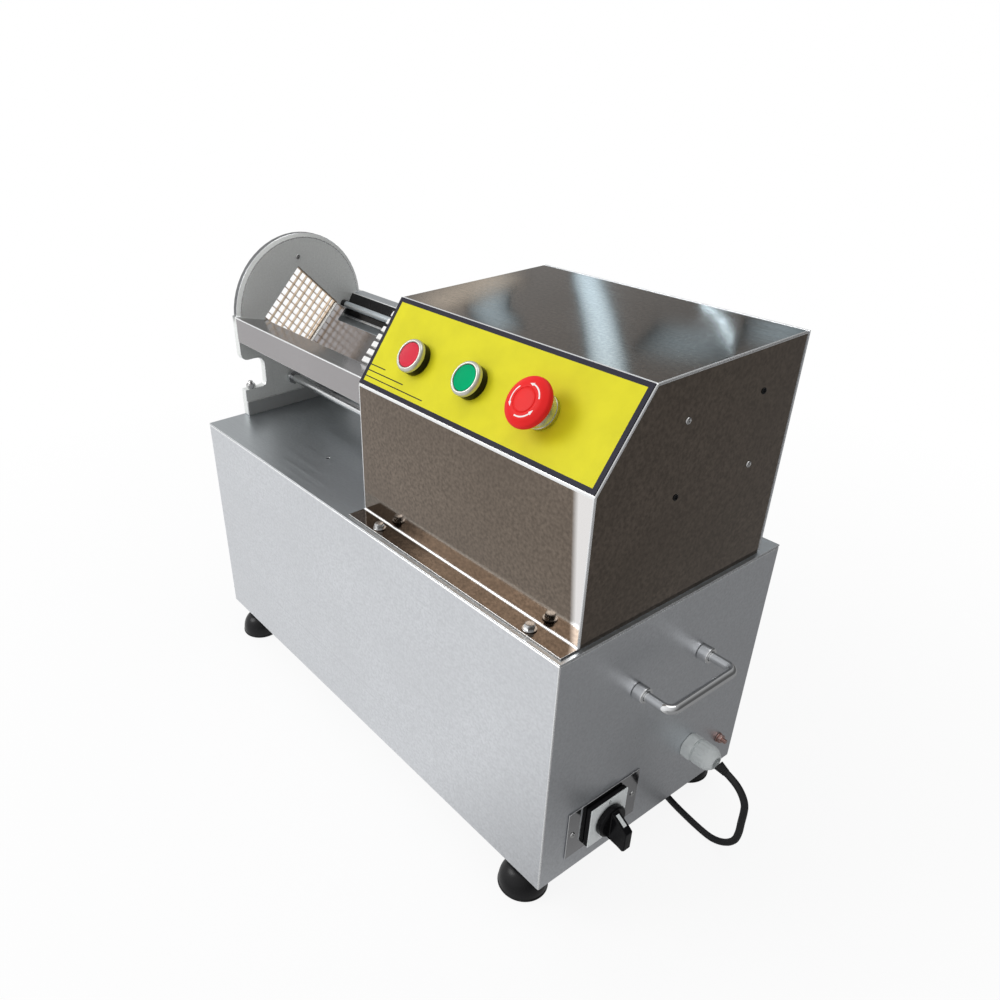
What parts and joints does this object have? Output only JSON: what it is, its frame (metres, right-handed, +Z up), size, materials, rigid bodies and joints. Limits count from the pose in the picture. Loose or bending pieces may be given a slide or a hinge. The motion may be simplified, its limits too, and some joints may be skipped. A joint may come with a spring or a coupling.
{
  "type": "french fry cutter",
  "caption": "Electric table-top fry cutter: a driven ram pushes potatoes along a V-trough through a square blade grid in a cast head.",
  "frame": {"origin": "on the surface that the feet stand on, under the middle of the machine without its cord", "axes": "+X from the blade head to the right end with the switch, +Y from the control side to the back, +Z up"},
  "size_m": [0.6826, 0.4107, 0.5089],
  "materials": {
    "stainless_steel": "satin sheet",
    "mirror_steel": "mirror polished sheet",
    "cast_aluminium": "machined casting",
    "bright_steel": "bright",
    "blade_steel": "ground blade steel",
    "chrome": "bright chrome plating",
    "white_plastic": "food-grade white",
    "black_rubber": "smooth",
    "black_plastic": "satin moulding",
    "yellow_film": "printed film",
    "red_plastic": "moulded",
    "green_plastic": "moulded",
    "grey_plastic": "light grey nylon",
    "pale_plastic": "printed dial",
    "brass": "plain",
    "painted_iron": "enamel",
    "gear_steel": "oiled gear steel"
  },
  "bodies": {
    "machine": {"cabinet_shell": "stainless_steel", "deck_plate": "stainless_steel", "bottom_cover": "stainless_steel", "foot_front_left": "black_rubber", "foot_front_right": "black_rubber", "foot_rear_left": "black_rubber", "foot_rear_right": "black_rubber", "housing_shell": "mirror_steel", "rear_cover": "stainless_steel", "flange_bolt_left": "bright_steel", "flange_bolt_right": "bright_steel", "control_overlay": "yellow_film", "jog_button_body": "black_plastic", "jog_button_bezel": "bright_steel", "auto_button_body": "black_plastic", "auto_button_bezel": "bright_steel", "estop_body": "bright_steel", "estop_contacts": "black_plastic", "head_casting": "cast_aluminium", "head_stud_front": "bright_steel", "head_stud_rear": "bright_steel", "blade_frame": "bright_steel", "blades_rising": "blade_steel", "blades_falling": "blade_steel", "trough_sheet": "mirror_steel", "side_channel": "stainless_steel", "channel_lining": "black_rubber", "side_rail": "bright_steel", "tie_rod_front": "bright_steel", "tie_rod_rear": "bright_steel", "drive_frame": "painted_iron", "ram_guide": "cast_aluminium", "guide_liner": "brass", "shaft_bearing": "cast_aluminium", "gearbox": "painted_iron", "gear_motor": "painted_iron", "control_box": "grey_plastic", "selector_plate": "mirror_steel", "selector_body": "black_plastic", "selector_dial": "pale_plastic", "handle_bar": "chrome", "handle_ferrule_front": "chrome", "handle_ferrule_rear": "chrome", "cable_gland": "grey_plastic", "earth_screw": "brass", "cord_sleeve": "black_rubber", "mains_cord": "black_rubber", "cord_coil": "black_rubber", "cord_tie": "black_plastic", "cord_tail": "black_rubber", "mains_plug": "black_plastic"},
    "ram": {"pusher_block": "white_plastic", "ram_bar": "bright_steel", "ram_rack": "gear_steel"},
    "pinion": {"pinion_shaft": "gear_steel"},
    "jog_button": {"jog_button_cap": "red_plastic"},
    "auto_button": {"auto_button_cap": "green_plastic"},
    "estop_plunger": {"estop_stem": "black_plastic"},
    "estop_head": {"estop_mushroom": "red_plastic"},
    "selector": {"selector_knob": "black_plastic"}
  },
  "joints": [
    {"name": "ram_slide", "type": "slide", "parent": "machine", "child": "ram", "axis": [-1, 0, 0], "range_m": [0, 0.2136]},
    {"name": "pinion_turn", "type": "hinge", "parent": "machine", "child": "pinion", "pos_m": [0.03715, -0.0025, 0.3756], "axis": [0, 1, 0], "range_deg": [-612, 0]},
    {"name": "jog_press", "type": "slide", "parent": "machine", "child": "jog_button", "axis": [0, 0.8037, -0.595], "range_m": [0, 0.003], "stiffness_N_per_m": 500, "springref_m": -0.002},
    {"name": "auto_press", "type": "slide", "parent": "machine", "child": "auto_button", "axis": [0, 0.8037, -0.595], "range_m": [0, 0.003], "stiffness_N_per_m": 500, "springref_m": -0.002},
    {"name": "estop_press", "type": "slide", "parent": "machine", "child": "estop_plunger", "axis": [0, 0.8037, -0.595], "range_m": [0, 0.0045], "stiffness_N_per_m": 800, "springref_m": -0.002},
    {"name": "estop_twist", "type": "hinge", "parent": "estop_plunger", "child": "estop_head", "pos_m": [0.20355, -0.09378, 0.4679], "axis": [0, -0.8037, 0.595], "range_deg": [-45, 0], "stiffness_Nm_per_rad": 0.05},
    {"name": "selector_turn", "type": "hinge", "parent": "machine", "child": "selector", "pos_m": [0.29205, -0.064, 0.0889], "axis": [1, 0, 0], "range_deg": [-90, 0]}
  ],
  "couplings": [
    {"joint": "pinion_turn", "follows": "ram_slide", "rad_per_m": -50}
  ]
}
